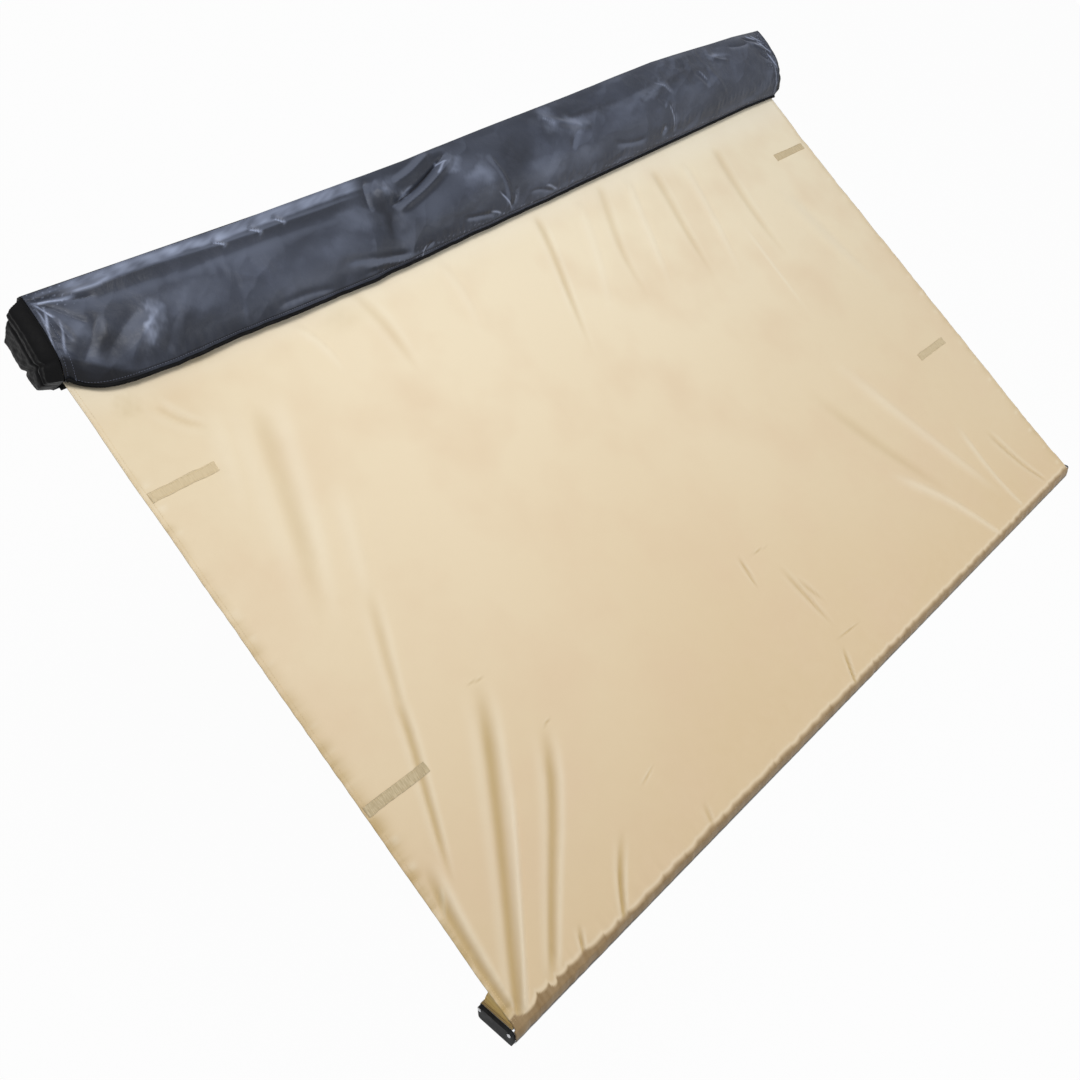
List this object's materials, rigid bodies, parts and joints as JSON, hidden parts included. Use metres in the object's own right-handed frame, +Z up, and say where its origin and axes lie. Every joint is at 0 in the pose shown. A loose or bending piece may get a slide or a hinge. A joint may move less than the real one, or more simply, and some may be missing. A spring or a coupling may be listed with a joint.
{
  "type": "vehicle side awning",
  "caption": "Roll-out side awning for a roof rack: tan canopy, dark zip bag on a slotted rail, hinged telescopic arms and legs stowed in the front rail.",
  "frame": {"origin": "middle of the rear rail's flat back face, where the awning is fastened to the roof rack", "axes": "+X along the vehicle and the rails, +Y towards the vehicle, out of the rear rail's back face, +Z up"},
  "size_m": [2.5654, 1.7448, 0.2086],
  "materials": {
    "aluminium": "mill-finished extrusion, satin",
    "black_aluminium": "extrusion, black powder coat",
    "steel": "stainless, satin",
    "black_plastic": "moulded, fine texture",
    "rubber": "moulded, matt",
    "bag_vinyl": "PVC-coated cloth, satin navy grey",
    "black_vinyl": "PVC-coated cloth, black",
    "zip_black": "woven zip tape with moulded teeth",
    "canopy_cloth": "coated canvas, tan",
    "sleeve_cloth": "gathered canvas, olive tan",
    "webbing": "hook-and-loop tape, greyish beige"
  },
  "bodies": {
    "awning_frame": {"rear_rail": "black_aluminium", "rear_rail_cap_left": "black_plastic", "rear_rail_cap_right": "black_plastic", "keder_strip": "aluminium", "bag_back_panel": "bag_vinyl", "bag_flap": "bag_vinyl", "bag_bottom_panel": "bag_vinyl", "bag_gusset_left": "black_vinyl", "bag_gusset_right": "black_vinyl", "zip_tape_upper": "zip_black", "zip_tape_lower": "zip_black", "canopy": "canopy_cloth", "front_rail": "aluminium", "front_sleeve": "sleeve_cloth", "front_rail_cap_left": "black_plastic", "cap_screw_outer_left": "steel", "cap_screw_inner_left": "steel", "arm_strap_rear_left": "webbing", "arm_strap_front_left": "webbing", "arm_bracket_left": "aluminium", "arm_pin_left": "steel", "arm_bolt_outer_left": "steel", "arm_bolt_inner_left": "steel", "arm_saddle_left": "black_plastic", "leg_bracket_left": "aluminium", "leg_pin_left": "steel", "front_rail_cap_right": "black_plastic", "cap_screw_outer_right": "steel", "cap_screw_inner_right": "steel", "arm_strap_rear_right": "webbing", "arm_strap_front_right": "webbing", "arm_bracket_right": "aluminium", "arm_pin_right": "steel", "arm_bolt_outer_right": "steel", "arm_bolt_inner_right": "steel", "arm_saddle_right": "black_plastic", "leg_bracket_right": "aluminium", "leg_pin_right": "steel"},
    "arm_left": {"arm_knuckle_left": "black_plastic", "arm_tube_outer_left": "aluminium"},
    "arm_left_collar": {"arm_collar_left": "black_plastic"},
    "arm_left_slider": {"arm_tube_inner_left": "aluminium", "arm_tip_left": "black_plastic"},
    "leg_left": {"leg_knuckle_left": "black_plastic", "leg_tube_outer_left": "aluminium"},
    "leg_left_collar": {"leg_collar_left": "black_plastic"},
    "leg_left_slider": {"leg_tube_inner_left": "aluminium", "leg_foot_left": "rubber"},
    "arm_right": {"arm_knuckle_right": "black_plastic", "arm_tube_outer_right": "aluminium"},
    "arm_right_collar": {"arm_collar_right": "black_plastic"},
    "arm_right_slider": {"arm_tube_inner_right": "aluminium", "arm_tip_right": "black_plastic"},
    "leg_right": {"leg_knuckle_right": "black_plastic", "leg_tube_outer_right": "aluminium"},
    "leg_right_collar": {"leg_collar_right": "black_plastic"},
    "leg_right_slider": {"leg_tube_inner_right": "aluminium", "leg_foot_right": "rubber"},
    "zip_pull": {"zip_slider": "steel"}
  },
  "joints": [
    {"name": "arm_left_fold", "type": "hinge", "parent": "awning_frame", "child": "arm_left", "pos_m": [-1.16, -0.0557, -0.016], "axis": [0, 0, 1], "range_deg": [0, 90]},
    {"name": "arm_left_telescope", "type": "slide", "parent": "arm_left", "child": "arm_left_slider", "axis": [0, 1, 0], "range_m": [0, 0.6]},
    {"name": "arm_left_lock", "type": "hinge", "parent": "arm_left", "child": "arm_left_collar", "pos_m": [-1.16, -1, -0.016], "axis": [0, 1, 0], "range_deg": [0, 60]},
    {"name": "leg_left_fold", "type": "hinge", "parent": "awning_frame", "child": "leg_left", "pos_m": [-1.215, -1.71059, -0.0159], "axis": [0, 1, 0], "range_deg": [0, 90]},
    {"name": "leg_left_telescope", "type": "slide", "parent": "leg_left", "child": "leg_left_slider", "axis": [1, 0, 0], "range_m": [0, 0.9]},
    {"name": "leg_left_lock", "type": "hinge", "parent": "leg_left", "child": "leg_left_collar", "pos_m": [-0.18, -1.71059, -0.0159], "axis": [1, 0, 0], "range_deg": [0, 60]},
    {"name": "arm_right_fold", "type": "hinge", "parent": "awning_frame", "child": "arm_right", "pos_m": [1.16, -0.0557, -0.016], "axis": [0, 0, -1], "range_deg": [0, 90]},
    {"name": "arm_right_telescope", "type": "slide", "parent": "arm_right", "child": "arm_right_slider", "axis": [0, 1, 0], "range_m": [0, 0.6]},
    {"name": "arm_right_lock", "type": "hinge", "parent": "arm_right", "child": "arm_right_collar", "pos_m": [1.16, -1, -0.016], "axis": [0, 1, 0], "range_deg": [0, 60]},
    {"name": "leg_right_fold", "type": "hinge", "parent": "awning_frame", "child": "leg_right", "pos_m": [1.215, -1.68143, -0.03868], "axis": [0, -1, 0], "range_deg": [0, 90]},
    {"name": "leg_right_telescope", "type": "slide", "parent": "leg_right", "child": "leg_right_slider", "axis": [-1, 0, 0], "range_m": [0, 0.9]},
    {"name": "leg_right_lock", "type": "hinge", "parent": "leg_right", "child": "leg_right_collar", "pos_m": [0.18, -1.68143, -0.03868], "axis": [1, 0, 0], "range_deg": [0, 60]},
    {"name": "zip_slide", "type": "slide", "parent": "awning_frame", "child": "zip_pull", "axis": [1, 0, 0], "range_m": [0, 2.42]}
  ]
}
